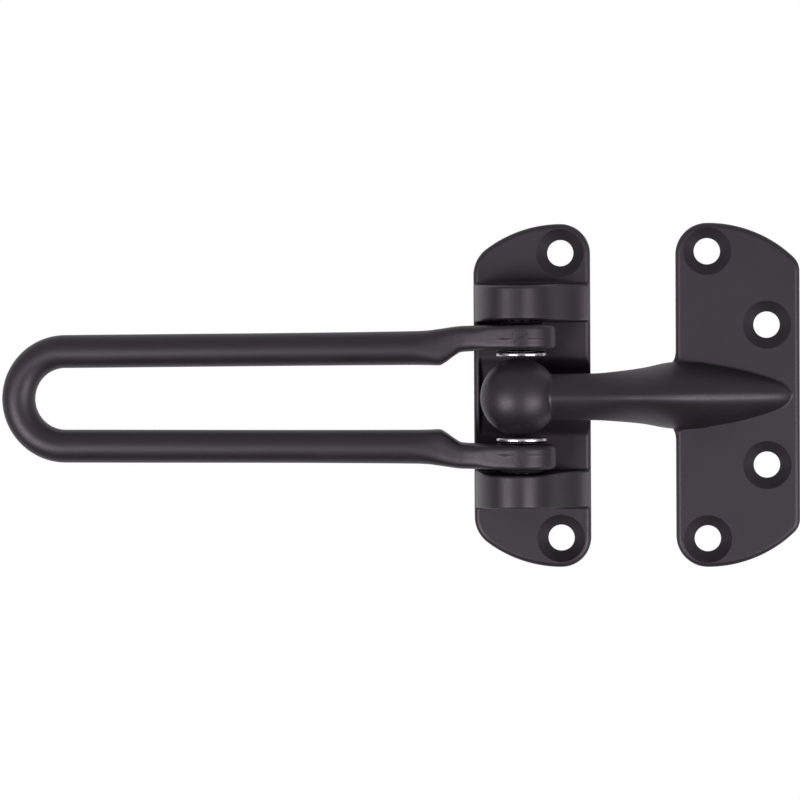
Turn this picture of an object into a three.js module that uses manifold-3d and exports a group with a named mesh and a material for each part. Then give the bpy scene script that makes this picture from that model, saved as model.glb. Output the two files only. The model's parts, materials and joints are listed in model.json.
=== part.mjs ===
// A swing-bar door guard: a U-shaped bar hinged on a frame plate, and a door plate whose horn
// carries the ball that the bar catches. Millimetres. +X runs from the bar's loop to the door
// plate, +Z is up, and the front faces -Y. The origin is on the frame plate's back, straight
// behind the pivot axis, so a height above the plates' backs is a distance along -Y.
import * as THREE from 'three';
import { mergeVertices } from 'three/addons/utils/BufferGeometryUtils.js';
import Module from 'manifold-3d';

const wasm = await Module();
wasm.setup();

// Both plates
const halfHeight = 31.7;
const plateThickness = 3;
const edgeBevel = 0.7;
const endArcRadius = 22.8;
const screwHoleRadius = 2.425;
const countersinkRadius = 4.4;

// Frame plate: the screw holes are near its door side
const framePlate = { holeX: 6.9, cornerX: 12.4, farX: -9.15, farFillet: 6 };
const frameHoles = [[6.9, 26.35]];
const channelHalfWidth = 7;
const channelDepth = 1.8;
const channelFarX = -7.4;
const channelLength = 40;

// Door plate: its outer screw holes are near its frame side
const doorPlate = { holeX: 33.9, cornerX: 28.1, farX: 50.8, farFillet: 3.6 };
const doorHoles = [[33.9, 26.5], [44.8, 12.9]];

// Pivot bosses on the frame plate
const bossInner = 13.7;
const bossOuter = 20.7;
const bossCrest = 15.8;
const bossDraft = 0.04;

// Pivot axis, pins and washers. Distances along the axis are from the middle of the guard.
const pivotHeight = 10;
const pinRadius = 2.5;
const pinHeadRadius = 4.65;
const pinHeadInner = 7.45;
const pinHeadOuter = 8.1;
const pinEnd = 20.2;
const pinChamfer = 0.4;
const runningGap = 0.1;
const waveMiddle = 8.4;
const waveThickness = 0.22;
const waveRise = 0.12;
const waveCount = 3;
const waveOuterRadius = 4.5;
const thrustInner = 13.27;
const thrustOuter = 13.75;
const thrustRadius = 4.8;

// Swing bar
const rodRadius = 3.05;
const loopX = -84.2;
const loopRadius = 8.73;
// From the eye to the end of the straight leg: x, z, half width across, half depth
const neckStations = [
  [-4.5, 10.9, 2.2, 4.2],
  [-8.9, 10.76, 2.32, 3.8],
  [-10.9, 10.69, 2.31, 3.55],
  [-11.9, 10.46, 2.48, 3.45],
  [-13.9, 9.64, 2.96, 3.2],
  [-15.3, 9.21, 3.21, 3.1],
  [-19, 9.05, 3.05, 3.05],
];
const eyeRadius = 6.2;
const eyeInner = 8.7;
const eyeOuter = 13.2;
const eyeRound = 0.9;
const eyeMiddle = (eyeInner + eyeOuter) / 2;

// Tension screw in the rim of each eye
const setScrewRadius = 1.45;
const setScrewHead = 15.9;
const setScrewTip = 12.75;
const slotWidth = 0.5;
const slotDepth = 0.7;
const slotTurn = THREE.MathUtils.degToRad(35);

// Horn and ball on the door plate
const ballX = -0.45;
const ballHeight = 10.3;
const ballRadius = 7.1;
const hornNeckHeight = 11.6;
const hornNeckBelly = 6.2;
const hornBase = 2.6;
const hornBack = 0.2;
const hornRise = [11, 29];
// Roundness of the horn's crest at its neck and on the plate: 1 is a roof, 2 is an ellipse
const hornCrest = [1.3, 1.5];
// Along the horn: x, half width, height of the ridge
const hornStations = [
  [1.5, 4.2, 14.6],
  [12.9, 4.26, 14.6],
  [18, 4.65, 14.15],
  [21.7, 5.1, 13.5],
  [28, 6.15, 12.2],
  [32, 6.05, 11],
  [35.4, 5.5, 9.9],
  [38.8, 4.9, 8.6],
  [42, 4.15, 7.2],
  [45.4, 3.15, 5.6],
  [47.9, 2.1, 4.2],
  [49.5, 0.5, 2.9],
];

// Facets
const arcSteps = 10;
const roundSegments = 32;
const holeSegments = 24;
const rodSides = 16;
const bendSteps = 8;
const hornSides = 24;
const hornSteps = 28;
const waveSteps = 36;

const blackCoat = new THREE.MeshStandardMaterial({ color: 0x343234, roughness: 0.42, metalness: 0.55 });
const brightZinc = new THREE.MeshStandardMaterial({ color: 0xc9c9c6, roughness: 0.28, metalness: 1 });

/** A closed geometry as a manifold-3d solid, its triangles turned outward. */
function solid(geometry) {
  const bare = geometry.clone();
  bare.deleteAttribute('normal');
  bare.deleteAttribute('uv');
  const merged = mergeVertices(bare, 1e-4);
  const position = merged.getAttribute('position');
  const index = Uint32Array.from(merged.index.array);
  if (signedVolume(position, index) < 0) {
    index.reverse();
  }
  return new wasm.Manifold(
    new wasm.Mesh({ numProp: 3, vertProperties: Float32Array.from(position.array), triVerts: index }),
  );
}

function signedVolume(position, index) {
  const [a, b, c] = [new THREE.Vector3(), new THREE.Vector3(), new THREE.Vector3()];
  let volume = 0;
  for (let i = 0; i < index.length; i += 3) {
    a.fromBufferAttribute(position, index[i]);
    b.fromBufferAttribute(position, index[i + 1]);
    c.fromBufferAttribute(position, index[i + 2]);
    volume += a.dot(b.cross(c)) / 6;
  }
  return volume;
}

/** A named mesh of a manifold-3d solid. */
function piece(name, body, material) {
  const mesh = body.getMesh();
  const geometry = new THREE.BufferGeometry();
  geometry.setAttribute('position', new THREE.BufferAttribute(mesh.vertProperties, 3));
  geometry.setIndex(new THREE.BufferAttribute(mesh.triVerts, 1));
  geometry.computeVertexNormals();
  const result = new THREE.Mesh(geometry, material);
  result.name = name;
  return result;
}

function arcPoints(x, y, radius, from, to, steps = arcSteps) {
  return Array.from({ length: steps + 1 }, (_, i) => {
    const angle = THREE.MathUtils.lerp(from, to, i / steps);
    return new THREE.Vector2(x + radius * Math.cos(angle), y + radius * Math.sin(angle));
  });
}

/** Rings of points joined into a skin, with a flat fan over each end unless it closes on itself. */
function loft(rings, closed = false) {
  const sides = rings[0].length;
  const index = [];
  const spans = closed ? rings.length : rings.length - 1;
  for (let r = 0; r < spans; r += 1) {
    const near = r * sides;
    const far = ((r + 1) % rings.length) * sides;
    for (let s = 0; s < sides; s += 1) {
      const next = (s + 1) % sides;
      index.push(near + s, near + next, far + s, near + next, far + next, far + s);
    }
  }
  const last = (rings.length - 1) * sides;
  for (let s = 1; s + 1 < sides && !closed; s += 1) {
    index.push(0, s + 1, s, last, last + s, last + s + 1);
  }
  return new THREE.BufferGeometry().setFromPoints(rings.flat()).setIndex(index);
}

/** A closed profile of [radius, distance] pairs turned about an axis along Z. */
function turned(profile, segments = roundSegments) {
  const points = profile.map(([radius, distance]) => new THREE.Vector2(radius, distance));
  return new THREE.LatheGeometry(points, segments).rotateX(Math.PI / 2);
}

/** Half of a plate's outline, from its corner side over its end to its far side. */
function plateOutline({ holeX, cornerX, farX, farFillet }) {
  const side = Math.sign(cornerX - holeX);
  const corner = Math.abs(cornerX - holeX);
  const centreZ = halfHeight - endArcRadius;
  const filletU = farFillet - Math.abs(farX - holeX);
  const filletZ = centreZ + Math.sqrt((endArcRadius - farFillet) ** 2 - filletU ** 2);
  const meet = Math.atan2(filletZ - centreZ, filletU);
  const upper = [
    ...arcPoints(0, halfHeight - corner, corner, 0, Math.PI / 2),
    ...arcPoints(0, centreZ, endArcRadius, Math.PI / 2, meet).slice(1),
    ...arcPoints(filletU, filletZ, farFillet, meet, Math.PI).slice(1),
  ];
  const lower = upper.map((p) => new THREE.Vector2(p.x, -p.y)).reverse();
  return new THREE.Shape([...upper, ...lower].map((p) => new THREE.Vector2(holeX + side * p.x, p.y)));
}

/** A plate lying on its back plane, with its front edge bevelled. */
function plateBlank(dimensions) {
  const slab = new THREE.ExtrudeGeometry(plateOutline(dimensions), {
    depth: plateThickness - edgeBevel,
    bevelSize: edgeBevel,
    bevelOffset: -edgeBevel,
    bevelThickness: edgeBevel,
    bevelSegments: 2,
  });
  const behind = new THREE.BoxGeometry(200, 200, 10).translate(0, 0, -5);
  return solid(slab.rotateX(Math.PI / 2)).subtract(solid(behind.rotateX(Math.PI / 2)));
}

/** The cutter for one countersunk screw hole, from behind the plate to in front of it. */
function countersunk(x, z) {
  const cone = countersinkRadius - screwHoleRadius;
  const cutter = turned([
    [0, -1],
    [screwHoleRadius, -1],
    [screwHoleRadius, plateThickness - cone],
    [countersinkRadius + 1, plateThickness + 1],
    [0, plateThickness + 1],
  ], holeSegments);
  return cutter.rotateX(Math.PI / 2).translate(x, 0, z);
}

function screwHoles(holes) {
  return holes
    .flatMap(([x, z]) => [countersunk(x, z), countersunk(x, -z)])
    .map(solid)
    .reduce((all, hole) => all.add(hole));
}

/** A pivot boss: steep behind the pin, a long fall towards the door, and drafted side walls. */
function boss(side) {
  const profile = new THREE.Shape();
  profile.moveTo(-8.9, 1);
  profile.lineTo(-8.9, 3.2);
  profile.bezierCurveTo(-8, 9, -6.4, bossCrest, -0.6, bossCrest);
  profile.bezierCurveTo(2.2, bossCrest, 4.2, 13.6, 5.6, 11.2);
  profile.bezierCurveTo(7.4, 8.1, 9, 4.4, 12.1, 3.2);
  profile.lineTo(12.1, 1);
  const width = bossOuter - bossInner;
  const geometry = new THREE.ExtrudeGeometry(profile, { depth: width, bevelEnabled: false, curveSegments: 10 });
  geometry.translate(0, 0, -width / 2);
  const position = geometry.getAttribute('position');
  for (let i = 0; i < position.count; i += 1) {
    const taper = 1 - (2 * bossDraft * (position.getY(i) - plateThickness)) / width;
    position.setZ(i, position.getZ(i) * taper);
  }
  return solid(geometry.rotateX(Math.PI).translate(0, 0, (side * (bossInner + bossOuter)) / 2));
}

function makeFramePlate() {
  const channelRadius = (channelHalfWidth ** 2 + channelDepth ** 2) / (2 * channelDepth);
  const channel = new THREE.CylinderGeometry(channelRadius, channelRadius, channelLength, 120)
    .rotateZ(Math.PI / 2)
    .translate(channelFarX + channelLength / 2, -(plateThickness - channelDepth + channelRadius), 0);
  const pinBore = new THREE.CylinderGeometry(pinRadius + runningGap, pinRadius + runningGap, 60, roundSegments)
    .rotateX(Math.PI / 2)
    .translate(0, -pivotHeight, 0);
  const body = plateBlank(framePlate)
    .subtract(solid(channel))
    .add(boss(1))
    .add(boss(-1))
    .subtract(solid(pinBore))
    .subtract(screwHoles(frameHoles));
  return piece('frame_plate', body, blackCoat);
}

/** The horn: a crested neck at the ball, widening on a full foot where it meets the plate. */
function horn() {
  const line = new THREE.CatmullRomCurve3(hornStations.map((s) => new THREE.Vector3(...s)));
  const rings = line.getPoints(hornSteps).map(({ x, y: halfWidth, z: ridge }) => {
    const fall = THREE.MathUtils.smoothstep(x, ...hornRise);
    const waist = THREE.MathUtils.lerp(hornNeckHeight, hornBase, fall);
    const belly = THREE.MathUtils.lerp(hornNeckBelly, hornBack, fall);
    const crest = 2 / THREE.MathUtils.lerp(...hornCrest, fall);
    return Array.from({ length: hornSides }, (_, i) => {
      const angle = (2 * Math.PI * i) / hornSides;
      const [across, out] = [Math.cos(angle), Math.sin(angle)];
      if (out > 0) {
        const z = halfWidth * Math.sign(across) * Math.abs(across) ** crest;
        return new THREE.Vector3(x, -(waist + (ridge - waist) * out ** crest), z);
      }
      return new THREE.Vector3(x, -(waist + (waist - belly) * out), halfWidth * across);
    });
  });
  return loft(rings);
}

function makeDoorPlate() {
  const ball = new THREE.SphereGeometry(ballRadius, 28, 18).translate(ballX, -ballHeight, 0);
  const body = plateBlank(doorPlate)
    .add(solid(horn()))
    .add(solid(ball))
    .subtract(screwHoles(doorHoles));
  return piece('door_plate', body, blackCoat);
}

/** Sections of the bar's upper half: x, z, half width across, half depth, and heading. */
function upperSections() {
  const straight = neckStations.map((station) => [...station, 0]);
  const bend = Array.from({ length: bendSteps + 1 }, (_, i) => {
    const angle = (Math.PI / 2) * (i / bendSteps);
    const x = loopX - loopRadius * Math.sin(angle);
    return [x, loopRadius * Math.cos(angle), rodRadius, rodRadius, angle];
  });
  return [...straight, ...bend];
}

function barSkin() {
  const upper = upperSections();
  const lower = upper.slice(0, -1).reverse().map(([x, z, w, d, turn]) => [x, -z, w, d, Math.PI - turn]);
  const rings = [...upper, ...lower].map(([x, z, across, deep, turn]) => (
    Array.from({ length: rodSides }, (_, i) => {
      const angle = (2 * Math.PI * i) / rodSides;
      const out = across * Math.cos(angle);
      return new THREE.Vector3(
        x - out * Math.sin(turn),
        -pivotHeight - deep * Math.sin(angle),
        z + out * Math.cos(turn),
      );
    })
  ));
  return loft(rings);
}

/** One eye of the bar: a thick ring about the pivot axis with rounded rims. */
function eye(side) {
  const half = (eyeOuter - eyeInner) / 2;
  const bore = pinRadius + runningGap;
  const rim = [-1, 1].flatMap((end) => {
    const middle = eyeRadius - eyeRound;
    const quarter = arcPoints(middle, end * (half - eyeRound), eyeRound, 0, (end * Math.PI) / 2, 3);
    return (end < 0 ? quarter.reverse() : quarter).map((p) => [p.x, p.y]);
  });
  const ring = turned([[bore, -half], ...rim, [bore, half], [bore, -half]]);
  return solid(ring.translate(0, -pivotHeight, side * eyeMiddle));
}

function tensionHole(side) {
  const radius = setScrewRadius + runningGap;
  const bottom = pivotHeight + pinRadius;
  const length = 6;
  const hole = new THREE.CylinderGeometry(radius, radius, length, holeSegments);
  return solid(hole.translate(0, -(bottom + length / 2), side * eyeMiddle));
}

function makeSwingBar() {
  const bore = new THREE.CylinderGeometry(pinRadius + runningGap, pinRadius + runningGap, 60, roundSegments)
    .rotateX(Math.PI / 2)
    .translate(0, -pivotHeight, 0);
  const body = solid(barSkin())
    .add(eye(1))
    .add(eye(-1))
    .subtract(solid(bore))
    .subtract(tensionHole(1))
    .subtract(tensionHole(-1));
  return piece('swing_bar', body, blackCoat);
}

/** A pivot pin: a flat bright head towards the ball, and a shank through eye and boss. */
function pivotPin(name) {
  const profile = [
    [0, pinHeadInner],
    [pinHeadRadius - 0.25, pinHeadInner],
    [pinHeadRadius, pinHeadInner + 0.2],
    [pinHeadRadius, pinHeadOuter],
    [pinRadius, pinHeadOuter],
    [pinRadius, pinEnd - pinChamfer],
    [pinRadius - pinChamfer, pinEnd],
    [0, pinEnd],
  ];
  return piece(name, solid(turned(profile)), brightZinc);
}

/** A wave washer: a thin ring that rises and falls round the pin. */
function waveWasher(name) {
  const sections = Array.from({ length: waveSteps }, (_, i) => {
    const angle = (2 * Math.PI * i) / waveSteps;
    const lift = waveMiddle + waveRise * Math.sin(waveCount * angle);
    const corners = [[0, 0], [1, 0], [1, 1], [0, 1]].map(([outer, top]) => [
      outer ? waveOuterRadius : pinRadius + 2 * runningGap,
      lift + (top - 0.5) * waveThickness,
    ]);
    return corners.map(([radius, z]) => (
      new THREE.Vector3(radius * Math.cos(angle), radius * Math.sin(angle), z)
    ));
  });
  return piece(name, solid(loft(sections, true)), blackCoat);
}

function thrustWasher(name) {
  const inner = pinRadius + 2 * runningGap;
  const profile = [
    [inner, thrustInner],
    [thrustRadius, thrustInner],
    [thrustRadius, thrustOuter],
    [inner, thrustOuter],
    [inner, thrustInner],
  ];
  return piece(name, solid(turned(profile)), blackCoat);
}

/** A short slotted set screw along -Y, its tip just clear of the pin. */
function tensionScrew(name) {
  const body = turned([
    [0, setScrewTip],
    [setScrewRadius - 0.4, setScrewTip],
    [setScrewRadius, setScrewTip + 0.4],
    [setScrewRadius, setScrewHead - 0.15],
    [setScrewRadius - 0.15, setScrewHead],
    [0, setScrewHead],
  ], holeSegments);
  const slot = new THREE.BoxGeometry(2 * setScrewRadius + 1, slotWidth, 2 * slotDepth)
    .rotateZ(slotTurn)
    .translate(0, 0, setScrewHead);
  const screw = piece(name, solid(body).subtract(solid(slot)), blackCoat);
  screw.rotation.x = Math.PI / 2;
  screw.position.set(0, pivotHeight, eyeMiddle);
  return screw;
}

/** The pieces round one end of the pivot axis. The lower end is the upper one turned over. */
function pivotEnd(prefix, side) {
  const group = new THREE.Group();
  group.add(pivotPin(`${prefix}_pivot_pin`));
  group.add(waveWasher(`${prefix}_wave_washer`));
  group.add(thrustWasher(`${prefix}_thrust_washer`));
  group.add(tensionScrew(`${prefix}_tension_screw`));
  group.position.y = -pivotHeight;
  group.rotation.y = side > 0 ? 0 : Math.PI;
  return group;
}

const guard = new THREE.Group();
guard.add(makeFramePlate());
guard.add(makeDoorPlate());
guard.add(makeSwingBar());
guard.add(pivotEnd('upper', 1));
guard.add(pivotEnd('lower', -1));

export default guard;
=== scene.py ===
import json
import math

import bpy
import numpy as np
from mathutils import Matrix, Vector


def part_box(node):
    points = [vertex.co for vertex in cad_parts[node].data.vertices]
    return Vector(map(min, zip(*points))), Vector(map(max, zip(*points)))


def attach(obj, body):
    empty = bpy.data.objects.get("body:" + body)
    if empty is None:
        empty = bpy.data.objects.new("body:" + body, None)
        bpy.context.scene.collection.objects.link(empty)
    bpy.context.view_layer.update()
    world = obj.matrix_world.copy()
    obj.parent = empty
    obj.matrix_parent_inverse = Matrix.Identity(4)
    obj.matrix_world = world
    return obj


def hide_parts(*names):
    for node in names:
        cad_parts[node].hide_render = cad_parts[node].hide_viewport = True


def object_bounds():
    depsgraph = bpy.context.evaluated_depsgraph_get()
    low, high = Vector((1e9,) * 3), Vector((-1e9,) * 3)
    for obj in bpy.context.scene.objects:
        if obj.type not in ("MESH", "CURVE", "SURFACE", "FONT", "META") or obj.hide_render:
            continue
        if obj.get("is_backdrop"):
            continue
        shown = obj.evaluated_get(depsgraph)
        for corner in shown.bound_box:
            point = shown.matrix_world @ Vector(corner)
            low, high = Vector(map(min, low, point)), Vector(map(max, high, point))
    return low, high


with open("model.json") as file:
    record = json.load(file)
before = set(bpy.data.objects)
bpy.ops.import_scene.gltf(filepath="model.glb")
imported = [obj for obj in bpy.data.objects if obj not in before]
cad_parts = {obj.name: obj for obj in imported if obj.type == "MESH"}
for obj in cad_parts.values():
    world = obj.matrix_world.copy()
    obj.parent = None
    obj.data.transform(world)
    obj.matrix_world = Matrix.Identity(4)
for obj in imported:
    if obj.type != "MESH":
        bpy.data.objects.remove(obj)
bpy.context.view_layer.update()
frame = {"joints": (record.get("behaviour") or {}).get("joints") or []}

MM = 0.001


def box_mm(node):
    low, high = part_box(node)
    return np.array(low) / MM, np.array(high) / MM


# ---------------------------------------------------------------- sizes from the frame
frame_low, frame_high = box_mm("frame_plate")
door_low, door_high = box_mm("door_plate")
bar_low, bar_high = box_mm("swing_bar")
pin_low, pin_high = box_mm("upper_pivot_pin")
wave_low, wave_high = box_mm("upper_wave_washer")
thrust_low, thrust_high = box_mm("upper_thrust_washer")
screw_low, screw_high = box_mm("upper_tension_screw")
swing = next(j for j in frame["joints"] if j["name"] == "bar_swing")
pivot_h = -swing["pos_m"][1] / MM

# Both plates
PLATE = 3.0
END_ARC = 22.8
FRONT_EDGE = 1.0
BACK_EDGE = 0.15
SCREW_HOLE = 2.425
COUNTERSINK = 4.4
half_height = float(frame_high[2])

# Frame plate
FRAME_HOLES = [(6.9, 26.35)]
FRAME_FILLET = 6.0
CHANNEL_HALF = 7.0
CHANNEL_DEPTH = 1.8
CHANNEL_RADIUS = (CHANNEL_HALF**2 + CHANNEL_DEPTH**2) / (2 * CHANNEL_DEPTH)
CHANNEL_FAR_X = -8.0
CHANNEL_END_EDGE = 0.4
CHANNEL_EDGE = 0.25
BOSS = (13.7, 20.7)
BOSS_DRAFT = 0.04
BOSS_EDGE = 0.45
BOSS_FOOT = 0.35
BOSS_ROOT_H = 1.0
BOSS_NEAR, BOSS_WAIST, BOSS_FAR = (-8.9, 3.2), (5.6, 11.2), (12.1, 3.2)
BOSS_TOP_X = -0.6
boss_crest = float(-frame_low[1])

# Door plate, horn and ball
DOOR_HOLES = [(33.9, 26.5), (44.8, 12.9)]
DOOR_CORNER_X = 28.1
DOOR_FILLET = 3.6
BALL = 7.1
ball_x = float(door_low[0]) + BALL
ball_h = float(-door_low[1]) - BALL
HORN = [  # x, half width, height of the ridge
    (1.5, 4.2, 14.6),
    (12.9, 4.26, 14.6),
    (18.0, 4.65, 14.15),
    (21.7, 5.1, 13.5),
    (28.0, 6.15, 12.2),
    (32.0, 6.05, 11.0),
    (35.4, 5.5, 9.9),
    (38.8, 4.9, 8.6),
    (42.0, 4.15, 7.2),
    (45.4, 3.15, 5.6),
    (47.9, 2.1, 4.2),
    (49.5, 0.5, 2.9),
]
HORN_RISE = (11.0, 29.0)
# Height of its widest level, height of its underside, and how round its crest is
HORN_NECK = (11.6, 6.2, 1.3)
HORN_BASE = (2.6, 0.2, 1.5)
HORN_CREST = 0.4
HORN_TIP_EDGE = 0.2
# The fillet at the horn's foot widens where it crosses the plate's near edge
HORN_FOOT_FILLET = 0.3
HORN_EDGE_FILLET = 1.0
HORN_EDGE_REACH = 1.5
NECK_FILLET = 0.35

# Swing bar
ROD = 3.05
LOOP_X = -84.2
LOOP_RADIUS = LOOP_X - float(bar_low[0]) - ROD
LEG = [  # x, half the gap between the legs, half their overall width, half depth
    (LOOP_X, LOOP_RADIUS - ROD, LOOP_RADIUS + ROD, ROD),
    (-19.5, 5.92, 12.14, ROD),
    (-17.0, 5.88, 12.26, 3.06),
    (-15.3, 5.82, 12.48, 3.08),
    (-14.85, 5.86, 12.54, 3.1),
    (-14.2, 6.2, 12.63, 3.13),
    (-12.0, 7.76, 12.94, 3.24),
    (-11.4, 8.12, 13.0, 3.3),
    (-10.7, 8.28, 13.04, 3.36),
    (-8.9, 8.4, 13.09, 3.7),
    (-6.5, 8.6, 13.12, 4.42),
    (-4.5, 8.7, 13.16, 5.08),
    (-2.0, 8.72, 13.18, 5.88),
]
LEG_END_X = 1.0
# The power of a leg's round section, and the stretches of x where it grows and by how much
ROUND_POWER = 2
SQUARER = [((-20.0, -11.5), 1.6), ((-9.0, -4.0), 3.6)]
eye_radius = float(bar_high[0])
EYE_THICKNESS = 4.5
EYE_EDGE = 0.9
EYE_FILLET = 0.1
eye_z = float(bar_high[2]) - EYE_THICKNESS / 2
# A thin line of flash round the rim of each eye, towards the middle of the guard
FLASH_HEIGHT = 0.035
FLASH_WIDTH = 0.17
FLASH_DROP = 0.45
FLASH_STARTS = (-4.5, -3.0)

# Pivot pins and washers
PIN = 2.5
HEAD = 0.65
GAP = 0.1
PIN_EDGE = 0.22
PIN_CHAMFER = 0.4
PIN_DIMPLE = (0.9, 0.5)
ON_AXIS = 0.02
WAVES = 3
WAVE_THICKNESS = 0.22
WAVE_SQUARENESS = 0.8
THRUST_INSET = 1.0
THRUST_EDGE = 0.08

# Tension screws, in the rims of the eyes
SET_SCREW = 1.45
SCREW_GAP = 0.01
SCREW_EDGE = 0.03
SLOT_WIDTH, SLOT_DEPTH = 0.26, 0.07
SLOT_FLOOR_EDGE, SLOT_EDGE = 0.04, 0.05
UPPER_SLOT_TURN, LOWER_SLOT_TURN = math.radians(35), math.radians(105)
THREAD_PITCH = 0.5
THREAD_DEPTH = 0.11
THREAD_STARTS = (0.5, 0.9)
TIP_FLAT = 0.9
TIP_SLOPE = 0.7
TIP_EDGE = 0.1


# ---------------------------------------------------------------- fields of distance
def round_max(a, b, radius):
    """The solid common to two, its outward edge rounded."""
    return np.minimum(np.maximum(a, b), -radius) + np.hypot(
        np.maximum(a + radius, 0), np.maximum(b + radius, 0)
    )


def round_min(a, b, radius):
    """Two solids joined, with a fillet between them."""
    return -round_max(-a, -b, radius)


def hermite(stations):
    """A smooth function through (x, y) stations that doesn't overshoot, flat beyond its ends."""
    xs, ys = np.array(stations, float).T
    span, rise = np.diff(xs), np.diff(ys)
    secant = rise / span
    before, after = secant[:-1], secant[1:]
    weight_before, weight_after = 2 * span[1:] + span[:-1], span[1:] + 2 * span[:-1]
    same_way = before * after > 0
    mean = np.zeros(len(before))
    mean[same_way] = ((weight_before + weight_after) / (
        weight_before / np.where(same_way, before, 1) + weight_after / np.where(same_way, after, 1)
    ))[same_way]
    slopes = np.concatenate([secant[:1], mean, secant[-1:]])

    def value(x):
        x = np.clip(x, xs[0], xs[-1])
        i = np.clip(np.searchsorted(xs, x) - 1, 0, len(xs) - 2)
        span = xs[i + 1] - xs[i]
        t = (x - xs[i]) / span
        rise = (1 + 2 * t) * (1 - t) ** 2 * ys[i] + t * t * (3 - 2 * t) * ys[i + 1]
        return rise + span * (t * (1 - t) ** 2 * slopes[i] - t * t * (1 - t) * slopes[i + 1])

    return value


def smoothstep(x, low, high):
    t = np.clip((x - low) / (high - low), 0, 1)
    return t * t * (3 - 2 * t)


def bezier(start, a, b, end, steps=32):
    """Points along a cubic curve, without its first."""
    t = np.linspace(0, 1, steps + 1)[1:, None]
    p = [np.array(q, float) for q in (start, a, b, end)]
    weights = (1 - t) ** 3, 3 * t * (1 - t) ** 2, 3 * t * t * (1 - t), t**3
    return sum(weight * point for weight, point in zip(weights, p))


def polygon_distance(x, y, corners):
    """Signed distance to a closed polygon, negative inside."""
    nearest = np.full(np.shape(x + y), np.inf)
    inside = np.zeros(np.shape(x + y), bool)
    for (x0, y0), (x1, y1) in zip(corners, np.roll(corners, -1, 0)):
        ex, ey = x1 - x0, y1 - y0
        t = np.clip(((x - x0) * ex + (y - y0) * ey) / (ex * ex + ey * ey), 0, 1)
        nearest = np.minimum(nearest, (x - x0 - t * ex) ** 2 + (y - y0 - t * ey) ** 2)
        if y0 != y1:
            crosses = (y0 > y) != (y1 > y)
            inside ^= crosses & (x < x0 + (y - y0) * ex / ey)
    return np.where(inside, -1, 1) * np.sqrt(nearest)


def outline_distance(x, z, hole_x, corner_x, far_x, fillet):
    """Signed distance to a plate's outline: arc round the screw hole, end arc, far corner."""
    u = np.sign(corner_x - hole_x) * (x - hole_x)
    z = np.abs(z)
    corner = abs(corner_x - hole_x)
    centre_z = half_height - END_ARC
    fillet_u = fillet - abs(far_x - hole_x)
    fillet_z = centre_z + math.sqrt((END_ARC - fillet) ** 2 - fillet_u**2)
    past_end_arc = (u * (fillet_z - centre_z) - fillet_u * (z - centre_z)) < 0
    return np.select(
        [
            (u >= 0) & (z >= half_height - corner),
            u >= 0,
            ~past_end_arc & (z > centre_z),
            z > fillet_z,
        ],
        [
            np.hypot(u, z - half_height + corner) - corner,
            u - corner,
            np.hypot(u, z - centre_z) - END_ARC,
            np.hypot(u - fillet_u, z - fillet_z) - fillet,
        ],
        fillet_u - fillet - u,
    )


def plate_distance(x, h, z, hole_x, corner_x, far_x, fillet):
    side = outline_distance(x, z, hole_x, corner_x, far_x, fillet)
    return round_max(side, h - PLATE, FRONT_EDGE)


def screw_hole_distance(x, h, z, holes):
    """Distance to the countersunk holes, which come in pairs above and below the middle."""
    nearest = np.inf
    for hole_x, hole_z in holes:
        r = np.hypot(x - hole_x, np.abs(z) - hole_z)
        cone = (r - COUNTERSINK + PLATE - h) / math.sqrt(2)
        nearest = np.minimum(nearest, np.minimum(r - SCREW_HOLE, cone))
    return np.maximum(nearest, h - PLATE - 1)


def pin_bore_distance(x, h):
    return np.hypot(x, h - pivot_h) - PIN - GAP


# ---------------------------------------------------------------- castings and forging as fields
boss_profile = np.vstack([
    [(BOSS_NEAR[0], BOSS_ROOT_H), BOSS_NEAR],
    bezier(BOSS_NEAR, (-8, 9), (-6.4, boss_crest), (BOSS_TOP_X, boss_crest)),
    bezier((BOSS_TOP_X, boss_crest), (2.2, boss_crest), (4.2, 13.6), BOSS_WAIST),
    bezier(BOSS_WAIST, (7.4, 8.1), (9, 4.4), BOSS_FAR),
    [(BOSS_FAR[0], BOSS_ROOT_H)],
])


def frame_body(x, h, z):
    """The frame plate with its channel and two bosses, before any hole."""
    plate = plate_distance(x, h, z, FRAME_HOLES[0][0], frame_high[0], frame_low[0], FRAME_FILLET)
    channel = np.hypot(z, h - PLATE + CHANNEL_DEPTH - CHANNEL_RADIUS) - CHANNEL_RADIUS
    channel = round_max(channel, CHANNEL_FAR_X - x, CHANNEL_END_EDGE)
    plate = round_max(plate, -channel, CHANNEL_EDGE)
    half = (BOSS[1] - BOSS[0]) / 2 - BOSS_DRAFT * (h - PLATE)
    side = np.abs(np.abs(z) - (BOSS[0] + BOSS[1]) / 2) - half
    boss = round_max(polygon_distance(x, h, boss_profile), side, BOSS_EDGE)
    return round_max(round_min(plate, boss, BOSS_FOOT), -h, BACK_EDGE)


def frame_field(x, h, z):
    holes = screw_hole_distance(x, h, z, FRAME_HOLES)
    return np.maximum(frame_body(x, h, z), -np.minimum(holes, pin_bore_distance(x, h)))


horn_half = hermite([(x, w) for x, w, _ in HORN])
horn_ridge = hermite([(x, top) for x, _, top in HORN])


def horn_distance(x, h, z):
    """A crested section above its widest level, and half an ellipse below."""
    fall = smoothstep(x, *HORN_RISE)
    waist, belly, power = (a + (b - a) * fall for a, b in zip(HORN_NECK, HORN_BASE))
    width = horn_half(x)
    above = h > waist
    reach = np.where(above, horn_ridge(x) - waist, waist - belly)
    power = np.where(above, power, 2.0)
    crest = np.where(above, HORN_CREST, 0)
    across = (np.hypot(z, crest) - crest) / (np.hypot(width, crest) - crest)
    up = np.abs(h - waist) / reach
    around = (across**power + np.maximum(up, 1e-6) ** power) ** (1 / power) - 1
    side = around * np.minimum(reach, width)
    return np.maximum(round_max(side, x - HORN[-1][0], HORN_TIP_EDGE), -x)


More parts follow.
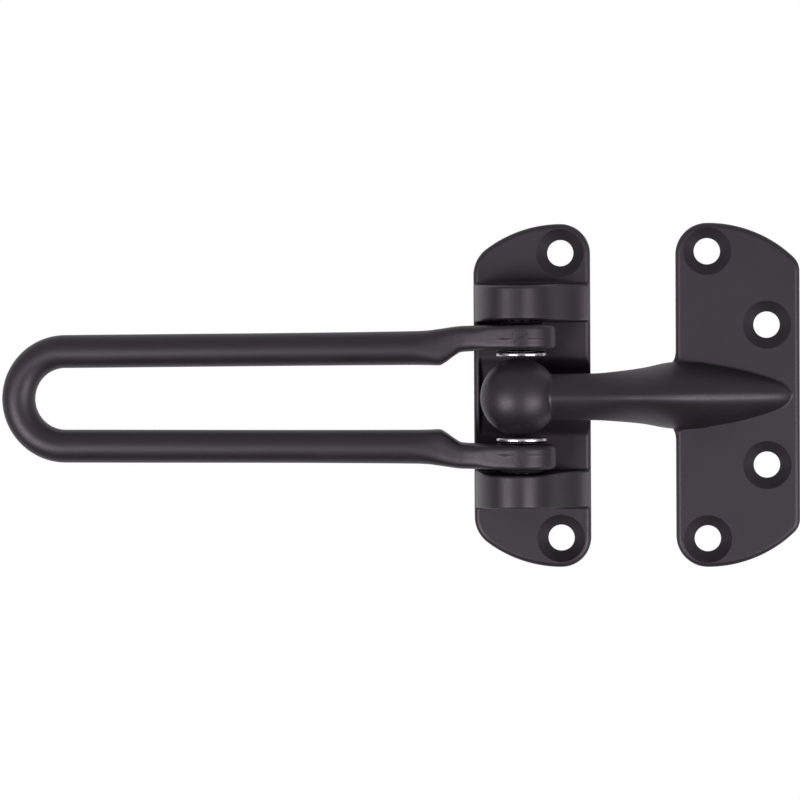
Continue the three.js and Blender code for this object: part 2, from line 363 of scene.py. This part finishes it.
def door_body(x, h, z):
    """The door plate with its horn and ball, before any hole."""
    plate = plate_distance(x, h, z, DOOR_HOLES[0][0], DOOR_CORNER_X, door_high[0], DOOR_FILLET)
    near_edge = np.exp(-(((x - DOOR_CORNER_X) / HORN_EDGE_REACH) ** 2))
    fillet = HORN_FOOT_FILLET + (HORN_EDGE_FILLET - HORN_FOOT_FILLET) * near_edge
    body = round_min(plate, horn_distance(x, h, z), fillet)
    ball = np.sqrt((x - ball_x) ** 2 + (h - ball_h) ** 2 + z**2) - BALL
    return round_max(round_min(body, ball, NECK_FILLET), -h, BACK_EDGE)


def door_field(x, h, z):
    return np.maximum(door_body(x, h, z), -screw_hole_distance(x, h, z, DOOR_HOLES))


leg_inner, leg_outer, leg_deep = (hermite([(s[0], s[k]) for s in LEG]) for k in (1, 2, 3))


def bar_body(x, h, z):
    """The bent rod, which squares off towards the two eyes at its ends, before any hole."""
    up = np.abs(z)
    inner, outer, deep = leg_inner(x), leg_outer(x), leg_deep(x)
    half = (outer - inner) / 2
    across = np.where(x < LOOP_X, np.hypot(x - LOOP_X, z), up) - (outer + inner) / 2
    power = ROUND_POWER
    for stretch, growth in SQUARER:
        power = power + growth * smoothstep(x, *stretch)
    around = np.abs(across / half) ** power + np.abs((h - pivot_h) / deep) ** power
    rod = (np.maximum(around, 1e-9) ** (1 / power) - 1) * np.minimum(half, deep)
    rod = np.maximum(rod, x - LEG_END_X)
    r = np.hypot(x, h - pivot_h)
    eye = round_max(r - eye_radius, np.abs(up - eye_z) - EYE_THICKNESS / 2, EYE_EDGE)
    flash = FLASH_HEIGHT * np.exp(-(((up - eye_z + FLASH_DROP) / FLASH_WIDTH) ** 2))
    return round_min(rod, eye, EYE_FILLET) - flash * smoothstep(x, *FLASH_STARTS)


def bar_field(x, h, z):
    screw = np.maximum(np.hypot(x, np.abs(z) - eye_z) - SET_SCREW - SCREW_GAP, pivot_h - h)
    return np.maximum(bar_body(x, h, z), -np.minimum(pin_bore_distance(x, h), screw))


# ---------------------------------------------------------------- meshes from fields
def surface_net(field, axes):
    """Points and quads where a field changes sign on a grid of x, h and z lines.

    Each grid edge that the surface crosses gives a quad between the four cells round it, and each
    cell's point is the mean of the crossings on its edges.
    """
    value = field(*np.meshgrid(*axes, indexing="ij", sparse=True))
    cells = np.array(value.shape) - 1
    stride = np.array([cells[1] * cells[2], cells[2], 1])
    corners, crossings = [], []
    for k in range(3):
        b, c = (k + 1) % 3, (k + 2) % 3
        near, far = np.delete(value, -1, k), np.delete(value, 0, k)
        at = np.argwhere((near < 0) != (far < 0))
        at = at[(at[:, b] > 0) & (at[:, b] < cells[b]) & (at[:, c] > 0) & (at[:, c] < cells[c])]
        v0, v1 = near[tuple(at.T)], far[tuple(at.T)]
        point = np.stack([axes[i][at[:, i]] for i in range(3)], 1)
        point[:, k] += v0 / (v0 - v1) * (axes[k][at[:, k] + 1] - axes[k][at[:, k]])
        home = at @ stride
        quad = np.stack([home, home - stride[b], home - stride[b] - stride[c], home - stride[c]], 1)
        quad[v0 > 0] = quad[v0 > 0][:, ::-1]
        corners.append(quad)
        crossings.append(point)
    corners, crossings = np.vstack(corners), np.vstack(crossings)
    _, quads = np.unique(corners.ravel(), return_inverse=True)
    count = np.bincount(quads)
    spread = np.repeat(crossings, 4, 0)
    points = np.stack([np.bincount(quads, spread[:, i]) / count for i in range(3)], 1)
    return points, quads.reshape(-1, 4)


def gradient(field, p, step=0.01):
    g = np.empty_like(p)
    for k in range(3):
        ahead, behind = p.copy(), p.copy()
        ahead[:, k] += step
        behind[:, k] -= step
        g[:, k] = field(*ahead.T) - field(*behind.T)
    return g / (2 * step)


def settled(field, p, rounds, least_slope=0.05, longest_move=0.3):
    """Points moved onto the field's surface."""
    for _ in range(rounds):
        g = gradient(field, p)
        move = field(*p.T) / np.maximum((g**2).sum(1), least_slope)
        p = p - g * np.clip(move, -longest_move, longest_move)[:, None]
    return p


def to_row(p):
    """x, h, z in millimetres to the row frame in metres."""
    return np.stack([p[:, 0], -p[:, 1], p[:, 2]], 1) * MM


def from_row(p):
    return np.stack([p[:, 0], -p[:, 1], p[:, 2]], 1) / MM


def new_object(name, points, faces):
    """points are x, h, z in millimetres; faces turn outward seen in that left-handed frame."""
    mesh = bpy.data.meshes.new(name)
    mesh.from_pydata(to_row(points).tolist(), [], [list(f)[::-1] for f in faces])
    mesh.validate()
    obj = bpy.data.objects.new(name, mesh)
    bpy.context.scene.collection.objects.link(obj)
    return obj


def read(items, name, kind=float):
    values = np.empty(len(items), kind)
    items.foreach_get(name, values)
    return values


def read_vectors(items, name):
    values = np.empty(len(items) * 3)
    items.foreach_get(name, values)
    return values.reshape(-1, 3)


def settle(obj, field, rounds):
    mesh = obj.data
    p = settled(field, from_row(read_vectors(mesh.vertices, "co")), rounds)
    mesh.vertices.foreach_set("co", to_row(p).ravel())
    mesh.update()


def apply_modifiers(obj):
    graph = bpy.context.evaluated_depsgraph_get()
    mesh = bpy.data.meshes.new_from_object(obj.evaluated_get(graph))
    obj.modifiers.clear()
    obj.data = mesh


def cast(name, field, axes, share):
    """A field's surface as a mesh, thinned out to a share of its faces."""
    obj = new_object(name, *surface_net(field, axes))
    settle(obj, field, 3)
    obj.modifiers.new("thin_out", "DECIMATE").ratio = share
    apply_modifiers(obj)
    settle(obj, field, 2)
    return obj


def cut(obj, *cutters):
    for cutter in cutters:
        modifier = obj.modifiers.new("cut", "BOOLEAN")
        modifier.object = cutter
        modifier.operation = "DIFFERENCE"
        modifier.solver = "EXACT"
        apply_modifiers(obj)
        bpy.data.objects.remove(cutter)


def unit(vectors):
    return vectors / np.maximum(np.linalg.norm(vectors, axis=1, keepdims=True), 1e-9)


# Where shade_by_field looks: near each corner, at most a share of the way to the face's centre,
# and part of the way there
SLOPE_STEP = 0.004
CORNER_INSET, CORNER_SHARE = 0.03, 0.2
PART_WAY = 0.4
# What it calls flat, a face on a plate's front or back, a sliver, and a stray normal
FLAT_ERROR, FLAT_SIZE = 0.002, 0.45
FLAT_COSINE = math.cos(math.radians(1.2))
PLATE_FACE_ERROR = 0.012
PLATE_FACE_COSINE = math.cos(math.radians(1.5))
SLIVER = 0.03
STRAY_COSINE = math.cos(math.radians(40))


def shade_by_field(obj, field):
    """Corner normals follow the field's slope; a face that the field finds flat stays flat."""
    mesh = obj.data
    totals = read(mesh.polygons, "loop_total", int)
    starts = np.concatenate([[0], np.cumsum(totals)[:-1]])

    def every(condition):
        return np.repeat(np.logical_and.reduceat(condition, starts), totals)

    points = from_row(read_vectors(mesh.vertices, "co"))[read(mesh.loops, "vertex_index", int)]
    inward = np.repeat(from_row(read_vectors(mesh.polygons, "center")), totals, 0) - points
    length = np.linalg.norm(inward, axis=1, keepdims=True)
    longest = np.repeat(np.maximum.reduceat(length[:, 0], starts), totals)
    face_normal = np.repeat(read_vectors(mesh.polygons, "normal") * (1, -1, 1), totals, 0)

    inset = np.minimum(CORNER_SHARE, CORNER_INSET / np.maximum(length, 1e-6))
    at_corner = unit(gradient(field, points + inward * inset, SLOPE_STEP))
    part_way = points + inward * PART_WAY
    agrees = (unit(gradient(field, part_way, SLOPE_STEP)) * face_normal).sum(1)
    level = np.abs(field(*part_way.T)) < FLAT_ERROR
    flat = every(agrees > FLAT_COSINE) & every(level) & (longest > FLAT_SIZE)
    on_front = every(np.abs(points[:, 1] - PLATE) < PLATE_FACE_ERROR)
    on_back = every(np.abs(points[:, 1]) < PLATE_FACE_ERROR)
    flat |= (on_front | on_back) & (np.abs(face_normal[:, 1]) > PLATE_FACE_COSINE)
    normals = np.where(flat[:, None], face_normal, at_corner)
    sliver = np.repeat(read(mesh.polygons, "area"), totals) < SLIVER * (longest * MM) ** 2
    stray = ((normals * face_normal).sum(1) < STRAY_COSINE) & ~sliver
    normals[stray] = face_normal[stray]
    mesh.shade_smooth()
    mesh.normals_split_custom_set((normals * (1, -1, 1)).tolist())


def loft(rings, closed=False):
    """Rings of points joined into a skin: (points, faces). Open ends get a face."""
    sides = len(rings[0])
    faces = []
    for r in range(len(rings) if closed else len(rings) - 1):
        near, far = r * sides, (r + 1) % len(rings) * sides
        for s in range(sides):
            t = (s + 1) % sides
            faces.append((near + s, near + t, far + t, far + s))
    if not closed:
        faces.append(tuple(range(sides))[::-1])
        faces.append(tuple(range((len(rings) - 1) * sides, len(rings) * sides)))
    return np.vstack(rings), faces


def full_turn(steps):
    return np.linspace(0, 2 * math.pi, steps, endpoint=False)


def turned(profile, steps=96):
    """A (radius, distance) profile turned about the z axis, with a face at each end."""
    angles = full_turn(steps)
    return loft([
        np.stack([r * np.cos(angles), r * np.sin(angles), np.full(steps, d)], 1)
        for r, d in profile
    ])


def rounded(corners, radius, steps=5):
    """A profile whose inner corners are rounded by short arcs."""
    out = [corners[0]]
    for before, at, after in zip(corners, corners[1:], corners[2:]):
        before, at, after = (np.array(q, float) for q in (before, at, after))
        a, b = before - at, after - at
        reach = min(radius, np.linalg.norm(a) / 2, np.linalg.norm(b) / 2)
        start, end = at + a / np.linalg.norm(a) * reach, at + b / np.linalg.norm(b) * reach
        for t in np.linspace(0, 1, steps):
            out.append(tuple((1 - t) ** 2 * start + 2 * t * (1 - t) * at + t * t * end))
    out.append(corners[-1])
    return out


def finish_piece(obj, node, body, material):
    obj.data.materials.clear()
    obj.data.materials.append(material)
    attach(obj, body)
    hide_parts(node)


# ---------------------------------------------------------------- materials
COAT_DARK, COAT_LIGHT = (0.0062, 0.0050, 0.0064, 1), (0.0086, 0.0070, 0.0088, 1)
COAT_TINT = (1.0, 0.86, 1.0, 1)
ZINC_DARK, ZINC_LIGHT = (0.40, 0.40, 0.385, 1), (0.58, 0.59, 0.60, 1)
# Painted shade: past its head the pin's shank is coloured near black, standing in for the shade in
# the gap between eye and boss
SHANK_SHADE_COLOUR = (0.02, 0.018, 0.02, 1)
SHANK_SHADE_STARTS = (0.02, 0.1)


def tree_of(name):
    material = bpy.data.materials.new(name)
    material.use_nodes = True
    tree = material.node_tree
    shader = tree.nodes["Principled BSDF"]
    return material, tree, shader


def node(tree, kind, inputs=(), **settings):
    """A new shader node. Each input is a value, or another node's output to link."""
    made = tree.nodes.new(kind)
    for key, value in settings.items():
        setattr(made, key, value)
    for key, value in dict(inputs).items():
        if isinstance(value, bpy.types.NodeSocket):
            tree.links.new(value, made.inputs[key])
        else:
            made.inputs[key].default_value = value
    return made


def millimetres(tree):
    """The piece's own coordinates in millimetres."""
    place = node(tree, "ShaderNodeTexCoord").outputs["Object"]
    scale = {0: place, 1: (1000, 1000, 1000)}
    return node(tree, "ShaderNodeVectorMath", scale, operation="MULTIPLY").outputs[0]


def noise(tree, where, scale, detail=2.0, rough=0.5):
    return node(tree, "ShaderNodeTexNoise", {
        "Vector": where, "Scale": scale, "Detail": detail, "Roughness": rough,
    }).outputs["Fac"]


def remap(tree, value, source, target, **settings):
    return node(tree, "ShaderNodeMapRange", {
        "Value": value, "From Min": source[0], "From Max": source[1],
        "To Min": target[0], "To Max": target[1],
    }, **settings).outputs[0]


def mix_colours(tree, factor, a, b):
    return node(tree, "ShaderNodeMix", {0: factor, 6: a, 7: b}, data_type="RGBA").outputs[2]


def black_coat(name, roughness, gloss):
    """Black coating: a faint orange peel over slightly uneven metal."""
    material, tree, shader = tree_of(name)
    where = millimetres(tree)
    cloud = noise(tree, where, scale=0.11, detail=3.0)
    grain = noise(tree, where, scale=2.6, detail=4.0, rough=0.6)
    tree.links.new(mix_colours(tree, cloud, COAT_DARK, COAT_LIGHT), shader.inputs["Base Color"])
    dull = remap(tree, cloud, (0.3, 0.7), roughness)
    speck = remap(tree, grain, (0.35, 0.75), (-0.03, 0.05))
    rough = node(tree, "ShaderNodeMath", {0: dull, 1: speck}, operation="ADD").outputs[0]
    tree.links.new(rough, shader.inputs["Roughness"])
    peel = noise(tree, where, scale=1.15, detail=2.0, rough=0.45)
    first = node(tree, "ShaderNodeBump", {"Height": peel, "Strength": 0.55, "Distance": 5e-6})
    second = node(tree, "ShaderNodeBump", {
        "Height": grain, "Strength": 0.5, "Distance": 1.5e-6, "Normal": first.outputs[0],
    })
    tree.links.new(second.outputs[0], shader.inputs["Normal"])
    shader.inputs["Specular IOR Level"].default_value = gloss
    shader.inputs["Specular Tint"].default_value = COAT_TINT
    return material


def bright_zinc():
    """Bright zinc with fine turning marks round the pivot axis; past the head the shank is painted
    near black as shade.
    """
    material, tree, shader = tree_of("bright zinc plate")
    to_pivot = {0: millimetres(tree), 1: (0, pivot_h, 0)}
    where = to_pivot[0]
    from_pivot = node(tree, "ShaderNodeVectorMath", to_pivot, operation="ADD").outputs[0]
    rings = node(tree, "ShaderNodeTexWave", {
        "Vector": from_pivot, "Scale": 1.6, "Distortion": 1.2, "Detail": 2.0, "Detail Scale": 1.5,
    }, wave_type="RINGS", rings_direction="Z").outputs["Fac"]
    cloud = noise(tree, where, scale=0.7, detail=3.0)
    colour = mix_colours(tree, cloud, ZINC_DARK, ZINC_LIGHT)
    along = node(tree, "ShaderNodeSeparateXYZ", {0: from_pivot}).outputs["Z"]
    reach = node(tree, "ShaderNodeMath", {0: along}, operation="ABSOLUTE").outputs[0]
    head_end = pin_low[2] + HEAD
    # Painted shade: this mask darkens the shank past the head
    shank = remap(tree, reach, [head_end + past for past in SHANK_SHADE_STARTS], (0, 1))
    tree.links.new(mix_colours(tree, shank, colour, SHANK_SHADE_COLOUR), shader.inputs["Base Color"])
    shader.inputs["Metallic"].default_value = 1.0
    tree.links.new(remap(tree, cloud, (0.3, 0.7), (0.2, 0.34)), shader.inputs["Roughness"])
    bump = node(tree, "ShaderNodeBump", {"Height": rings, "Strength": 0.3, "Distance": 2e-6})
    tree.links.new(bump.outputs[0], shader.inputs["Normal"])
    return material


BLACK = black_coat("satin black coating", roughness=(0.46, 0.52), gloss=0.5)
MATT = black_coat("matt black coating", roughness=(0.75, 0.85), gloss=0.12)
ZINC = bright_zinc()


# ---------------------------------------------------------------- cast and forged pieces
FINE = 0.25
MARGIN = 0.6
# Grid steps along the bar's loop, along its straight legs, and across the line of flash
LOOP_STEP = 0.4
STRAIGHT_STEP, STRAIGHT_END_X = 1.5, -18
FLASH_STEP, FLASH_REACH = 0.07, 0.42
PLATE_SHARE = 0.30
BAR_SHARE = 0.5
# How far the cutters stand out of the metal
CUT_PAST = 1
CONE_PAST = 0.6
RIM_PAST = 10
HOLE_STEPS = 72
SCREW_HOLE_STEPS = 48


def spaced(*stretches):
    """Grid lines: each stretch is (from, to, step)."""
    lines = [np.linspace(a, b, int(round(abs(b - a) / step)) + 1) for a, b, step in stretches]
    return np.unique(np.round(np.concatenate(lines), 4))


def upright_cutter(profile, steps, place):
    """A cutter turned about an axis up the page."""
    points, faces = turned(profile, steps)
    return new_object("cutter", points + place, faces)


def facing_cutter(profile, steps, place):
    """A cutter turned about an axis towards the viewer."""
    points, faces = turned(profile, steps)
    return new_object("cutter", points[:, [0, 2, 1]] + place, [f[::-1] for f in faces])


def countersink_cutters(holes):
    cone = COUNTERSINK - SCREW_HOLE
    profile = [
        (SCREW_HOLE, -CUT_PAST),
        (SCREW_HOLE, PLATE - cone),
        (COUNTERSINK + CONE_PAST, PLATE + CONE_PAST),
    ]
    return [
        facing_cutter(profile, HOLE_STEPS, (x, 0, side * z))
        for x, z in holes for side in (1, -1)
    ]


def pin_bore_cutter():
    radius = PIN + GAP
    profile = [(radius, -half_height), (radius, half_height)]
    return upright_cutter(profile, HOLE_STEPS, (0, pivot_h, 0))


def screw_bore_cutter(side):
    radius = SET_SCREW + SCREW_GAP
    profile = [(radius, pivot_h), (radius, pivot_h + RIM_PAST)]
    return facing_cutter(profile, SCREW_HOLE_STEPS, (0, 0, side * eye_z))


def plate_axes(low, high):
    return [
        spaced((low[0] - MARGIN, high[0] + MARGIN, FINE)),
        spaced((-MARGIN, -low[1] + MARGIN, FINE)),
        spaced((-half_height - MARGIN, half_height + MARGIN, FINE)),
    ]


def make_frame_plate():
    obj = cast("frame_plate_casting", frame_body, plate_axes(frame_low, frame_high), PLATE_SHARE)
    cut(obj, *countersink_cutters(FRAME_HOLES), pin_bore_cutter())
    shade_by_field(obj, frame_field)
    finish_piece(obj, "frame_plate", "frame", BLACK)


def make_door_plate():
    obj = cast("door_plate_casting", door_body, plate_axes(door_low, door_high), PLATE_SHARE)
    cut(obj, *countersink_cutters(DOOR_HOLES))
    shade_by_field(obj, door_field)
    finish_piece(obj, "door_plate", "door", BLACK)


def make_swing_bar():
    flash_z = eye_z - FLASH_DROP
    half_of_z = [
        (0, flash_z - FLASH_REACH, FINE),
        (flash_z - FLASH_REACH, flash_z + FLASH_REACH, FLASH_STEP),
        (flash_z + FLASH_REACH, bar_high[2] + MARGIN, FINE),
    ]
    axes = [
        spaced(
            (bar_low[0] - MARGIN, LOOP_X, LOOP_STEP),
            (LOOP_X, STRAIGHT_END_X, STRAIGHT_STEP),
            (STRAIGHT_END_X, eye_radius + MARGIN, FINE),
        ),
        spaced((pivot_h - eye_radius - MARGIN, pivot_h + eye_radius + MARGIN, FINE)),
        spaced(*((side * a, side * b, step) for side in (-1, 1) for a, b, step in half_of_z)),
    ]
    obj = cast("swing_bar_forging", bar_body, axes, BAR_SHARE)
    cut(obj, pin_bore_cutter(), screw_bore_cutter(1), screw_bore_cutter(-1))
    shade_by_field(obj, bar_field)
    finish_piece(obj, "swing_bar", "bar", BLACK)


# ---------------------------------------------------------------- pins, washers and screws
SMOOTH_ANGLE = math.radians(35)
RING_STEPS = 96
WAVE_STEPS = 144
WAVE_SECTION_STEPS = 16
SCREW_STEP = 0.07
SCREW_MARGIN = 0.2
SCREW_TIP_MARGIN = 0.3
SCREW_SHARE = 0.35


def pivot_piece(name, points, faces, side, node_name, material):
    """A piece on the pivot axis. The lower one is the upper one turned half a turn about y."""
    obj = new_object(name, points + (0, pivot_h, 0), faces)
    if side < 0:
        obj.data.transform(Matrix.Diagonal((-1, 1, -1, 1)))
    obj.data.shade_smooth()
    obj.data.set_sharp_from_angle(angle=SMOOTH_ANGLE)
    finish_piece(obj, node_name, "frame", material)


def make_pin(prefix, side):
    """The pin, turned from its head's face to the dimple in the far end of its shank."""
    head, inner, end = pin_high[0], pin_low[2], pin_high[2]
    dimple, dimple_depth = PIN_DIMPLE
    points, faces = turned(rounded([
        (ON_AXIS, inner), (head, inner), (head, inner + HEAD), (PIN, inner + HEAD),
        (PIN, end - PIN_CHAMFER), (PIN - PIN_CHAMFER, end), (dimple, end),
        (ON_AXIS, end - dimple_depth),
    ], PIN_EDGE))
    pivot_piece(f"{prefix}_pin", points, faces, side, f"{prefix}_pivot_pin", ZINC)


def make_wave_washer(prefix, side):
    inner, outer = PIN + 2 * GAP, wave_high[0]
    middle = (wave_low[2] + wave_high[2]) / 2
    rise = (wave_high[2] - wave_low[2] - WAVE_THICKNESS) / 2
    half_step = math.pi / WAVE_SECTION_STEPS
    rings = []
    for angle in full_turn(WAVE_STEPS):
        lift = middle + rise * math.sin(WAVES * angle)
        section = []
        for corner in full_turn(WAVE_SECTION_STEPS) + half_step:
            a, b = math.cos(corner), math.sin(corner)
            round_off = max(abs(a), abs(b)) ** -WAVE_SQUARENESS
            radius = (inner + outer) / 2 + (outer - inner) / 2 * np.clip(a * round_off, -1, 1)
            section.append((
                radius * math.cos(angle),
                radius * math.sin(angle),
                lift + WAVE_THICKNESS / 2 * np.clip(b * round_off, -1, 1),
            ))
        rings.append(np.array(section))
    points, faces = loft(rings, closed=True)
    pivot_piece(f"{prefix}_wave_spring_washer", points, faces, side,
                f"{prefix}_wave_washer", BLACK)


def make_thrust_washer(prefix, side):
    inner, outer = PIN + 2 * GAP, thrust_high[0] - THRUST_INSET
    low, high = thrust_low[2], thrust_high[2]
    seam = (inner, (low + high) / 2)
    corners = [seam, (inner, low), (outer, low), (outer, high), (inner, high), seam]
    profile = rounded(corners, THRUST_EDGE, 4)[:-1]
    points, faces = loft([
        np.array([(r * math.cos(angle), r * math.sin(angle), d) for r, d in profile])
        for angle in full_turn(RING_STEPS)
    ], closed=True)
    pivot_piece(f"{prefix}_thrust_ring", points, faces, side,
                f"{prefix}_thrust_washer", MATT)


def make_tension_screw(prefix, side):
    """A slotted set screw whose crown follows the eye's rim."""
    tip, head = -screw_high[1], -screw_low[1]
    turn = UPPER_SLOT_TURN if side > 0 else LOWER_SLOT_TURN

    def field(x, h, z):
        up = z - side * eye_z
        r = np.hypot(x, up)
        wind = np.arctan2(up, x) / (2 * math.pi) + h / THREAD_PITCH
        valley = np.abs(2 * (wind - np.floor(wind)) - 1)
        depth = THREAD_DEPTH * valley * smoothstep(head - h, *THREAD_STARTS)
        crown = np.hypot(x, h - pivot_h) - eye_radius
        body = round_max(r - SET_SCREW + depth, crown, SCREW_EDGE)
        body = round_max(body, tip - h + np.maximum(r - TIP_FLAT, 0) * TIP_SLOPE, TIP_EDGE)
        across = np.abs(-x * math.sin(turn) + up * math.cos(turn)) - SLOT_WIDTH / 2
        groove = round_max(across, -crown - SLOT_DEPTH, SLOT_FLOOR_EDGE)
        return round_max(body, -groove, SLOT_EDGE)

    reach = SET_SCREW + SCREW_MARGIN
    axes = [
        spaced((-reach, reach, SCREW_STEP)),
        spaced((tip - SCREW_TIP_MARGIN, pivot_h + eye_radius + SCREW_MARGIN, SCREW_STEP)),
        spaced((side * eye_z - reach, side * eye_z + reach, SCREW_STEP)),
    ]
    obj = cast(f"{prefix}_slotted_screw", field, axes, SCREW_SHARE)
    shade_by_field(obj, field)
    finish_piece(obj, f"{prefix}_tension_screw", "bar", BLACK)


make_frame_plate()
make_door_plate()
make_swing_bar()
for prefix, side in (("upper", 1), ("lower", -1)):
    make_pin(prefix, side)
    make_wave_washer(prefix, side)
    make_thrust_washer(prefix, side)
    make_tension_screw(prefix, side)


# ---------------------------------------------------------------- stage, camera and light
low, high = (Vector(corner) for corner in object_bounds())
centre = (low + high) / 2

AZIMUTH = math.radians(4.465)
ELEVATION = math.radians(1.494)
DISTANCE = 0.5934
ROLL = math.radians(-0.352)
SENSOR_WIDTH, FOCAL = 36, 145.53
AIM = centre + Vector((0.0002, 0, -0.0005))

FLOOR_SIZE = 1.6
FLOOR_DROP = 0.35
FLOOR_IN_FRONT = 0.1
FLOOR_COLOUR = (0.82, 0.82, 0.82, 1)
FLOOR_ROUGHNESS = 0.7

# The world's strength as light: in front of the guard, in front and below, and behind it
FRONT_LIGHT = 0.56
UNDER_LIGHT = 0.0
BACK_LIGHT = 1.0
WHITE = (1, 1, 1, 1)

# Softboxes: azimuths and elevation in degrees, sizes in metres, power in watts
SOFTBOX_AZIMUTHS = {"left softbox": -35.5, "right softbox": 44.5}
SOFTBOX_ELEVATION = -16
SOFTBOX_DISTANCE = 0.75
SOFTBOX_SIZE = (0.46, 0.32)
SOFTBOX_POWER = 5.35


def add_to_scene(name, data):
    obj = bpy.data.objects.new(name, data)
    bpy.context.scene.collection.objects.link(obj)
    return obj


def aimed(target, azimuth, elevation, distance):
    """The place of a viewer or light at that azimuth and elevation, turned towards its target."""
    back = Vector((
        math.sin(azimuth) * math.cos(elevation),
        -math.cos(azimuth) * math.cos(elevation),
        math.sin(elevation),
    ))
    turn = back.to_track_quat("Z", "Y").to_matrix().to_4x4()
    return Matrix.Translation(target + back * distance) @ turn


def make_camera():
    data = bpy.data.cameras.new("camera")
    data.sensor_width = SENSOR_WIDTH
    data.lens = FOCAL
    camera = add_to_scene("camera", data)
    camera.matrix_world = aimed(AIM, AZIMUTH, ELEVATION, DISTANCE) @ Matrix.Rotation(ROLL, 4, "Z")
    bpy.context.scene.camera = camera


def make_softbox(name, azimuth):
    data = bpy.data.lights.new(name, "AREA")
    data.shape = "RECTANGLE"
    data.size, data.size_y = SOFTBOX_SIZE
    data.energy = SOFTBOX_POWER
    angles = math.radians(azimuth), math.radians(SOFTBOX_ELEVATION)
    add_to_scene(name, data).matrix_world = aimed(centre, *angles, SOFTBOX_DISTANCE)


def make_floor():
    """A pale floor below and behind the guard, which is held up by its plates."""
    place = (centre.x, FLOOR_SIZE / 2 - FLOOR_IN_FRONT, low.z - FLOOR_DROP)
    bpy.ops.mesh.primitive_grid_add(
        x_subdivisions=2, y_subdivisions=2, size=FLOOR_SIZE, location=place
    )
    floor = bpy.context.active_object
    floor.name = "floor"
    material, _, shader = tree_of("pale floor")
    shader.inputs["Base Color"].default_value = FLOOR_COLOUR
    shader.inputs["Roughness"].default_value = FLOOR_ROUGHNESS
    floor.data.materials.append(material)
    floor.visible_glossy = False
    floor.visible_diffuse = False
    floor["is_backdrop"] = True


def make_world():
    """White to the camera. As light it is white from behind and dim from the viewer's side."""
    world = bpy.data.worlds.new("studio")
    bpy.context.scene.world = world
    world.use_nodes = True
    tree = world.node_tree
    generated = node(tree, "ShaderNodeTexCoord").outputs["Generated"]
    towards = node(tree, "ShaderNodeSeparateXYZ", {0: generated}).outputs
    front = remap(tree, towards["Z"], (-0.5, 0.6), (UNDER_LIGHT, FRONT_LIGHT))
    strength = remap(tree, towards["Y"], (-0.1, 0.5), (front, BACK_LIGHT),
                     interpolation_type="SMOOTHSTEP")
    seen = node(tree, "ShaderNodeBackground", {"Color": WHITE, "Strength": 1.0})
    lit = node(tree, "ShaderNodeBackground", {"Color": WHITE, "Strength": strength})
    ray = node(tree, "ShaderNodeLightPath")
    mix = node(tree, "ShaderNodeMixShader", {
        0: ray.outputs["Is Camera Ray"], 1: lit.outputs[0], 2: seen.outputs[0],
    })
    tree.links.new(mix.outputs[0], tree.nodes["World Output"].inputs[0])


make_camera()
make_world()
make_floor()
for name, azimuth in SOFTBOX_AZIMUTHS.items():
    make_softbox(name, azimuth)
bpy.context.scene.view_settings.view_transform = "Standard"
